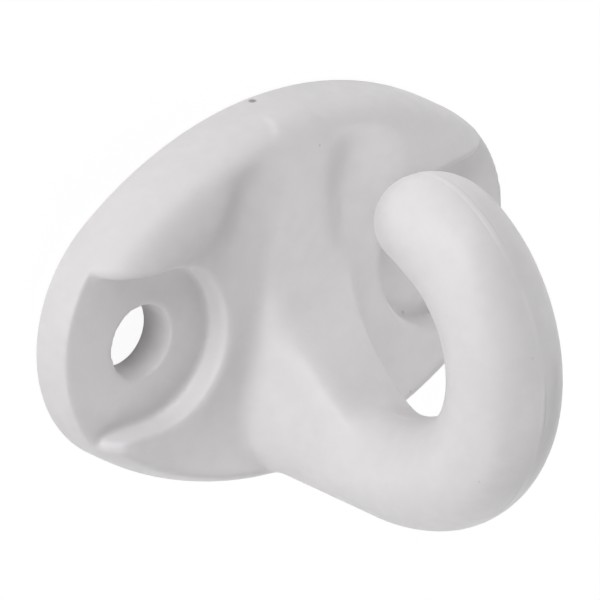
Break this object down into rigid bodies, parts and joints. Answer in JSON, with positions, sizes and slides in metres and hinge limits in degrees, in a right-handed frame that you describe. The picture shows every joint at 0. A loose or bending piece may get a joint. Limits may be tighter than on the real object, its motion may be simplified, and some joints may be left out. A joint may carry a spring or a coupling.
{
  "type": "deck hook",
  "caption": "One-piece moulded plastic deck hook: an oval screw-on base with two sunk screw seats and a round upright hook for shock cord or light line.",
  "frame": {"origin": "midway between the two screw holes, on the base's flat back face", "axes": "+Z out of the deck, +X through both screw holes along the base's long axis, +Y to the side the hook's mouth opens to"},
  "size_m": [0.0394, 0.0265, 0.0287],
  "materials": {
    "white_nylon": "satin, as moulded"
  },
  "bodies": {
    "root": {"deck_hook": "white_nylon"}
  },
  "joints": []
}
